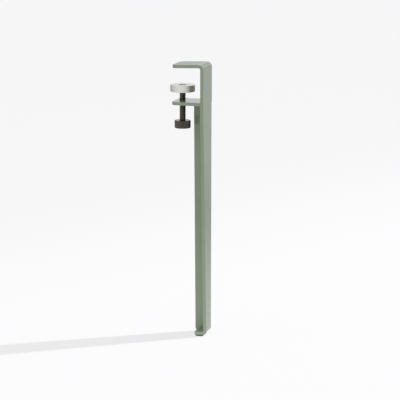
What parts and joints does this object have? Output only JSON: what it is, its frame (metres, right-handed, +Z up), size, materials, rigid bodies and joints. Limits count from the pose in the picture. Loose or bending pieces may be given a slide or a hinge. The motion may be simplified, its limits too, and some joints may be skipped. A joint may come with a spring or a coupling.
{
  "type": "clamp-on table leg",
  "caption": "Folded steel leg with a screw clamp at its top end that grips the edge of a board and carries it as a table.",
  "frame": {"origin": "middle of the foot pad's underside, where the leg stands on the floor", "axes": "+Z up along the leg, -X towards the jaw tips, -Y towards the leg's front edge, the flange on the +Y side"},
  "size_m": [0.0593, 0.052, 0.43],
  "materials": {
    "leg_paint": "semi-gloss sage green powder coat on folded steel sheet",
    "pad_rubber": "matt black glide",
    "disc_aluminium": "turned and clear anodised",
    "screw_steel": "black oxide, lightly oiled thread",
    "knob_steel": "black oxide, knurled rim",
    "zinc_steel": "bright zinc plate"
  },
  "bodies": {
    "leg": {"leg_sheet": "leg_paint", "lower_jaw": "leg_paint", "jaw_welds": "leg_paint", "foot_pad": "pad_rubber"},
    "disc": {"pressure_disc": "disc_aluminium"},
    "screw": {"clamp_screw": "screw_steel", "knurled_knob": "knob_steel", "disc_washer": "zinc_steel", "disc_screw": "zinc_steel"}
  },
  "joints": [
    {"name": "disc_slide", "type": "slide", "parent": "leg", "child": "disc", "axis": [0, 0, 1], "range_m": [-0.0135, 0.0255]},
    {"name": "screw_turn", "type": "hinge", "parent": "disc", "child": "screw", "pos_m": [-0.028, -0.008, 0.3853], "axis": [0, 0, 1], "range_deg": [-3312, 6192]}
  ],
  "couplings": [
    {"joint": "screw_turn", "follows": "disc_slide", "rad_per_m": 4188.8}
  ]
}
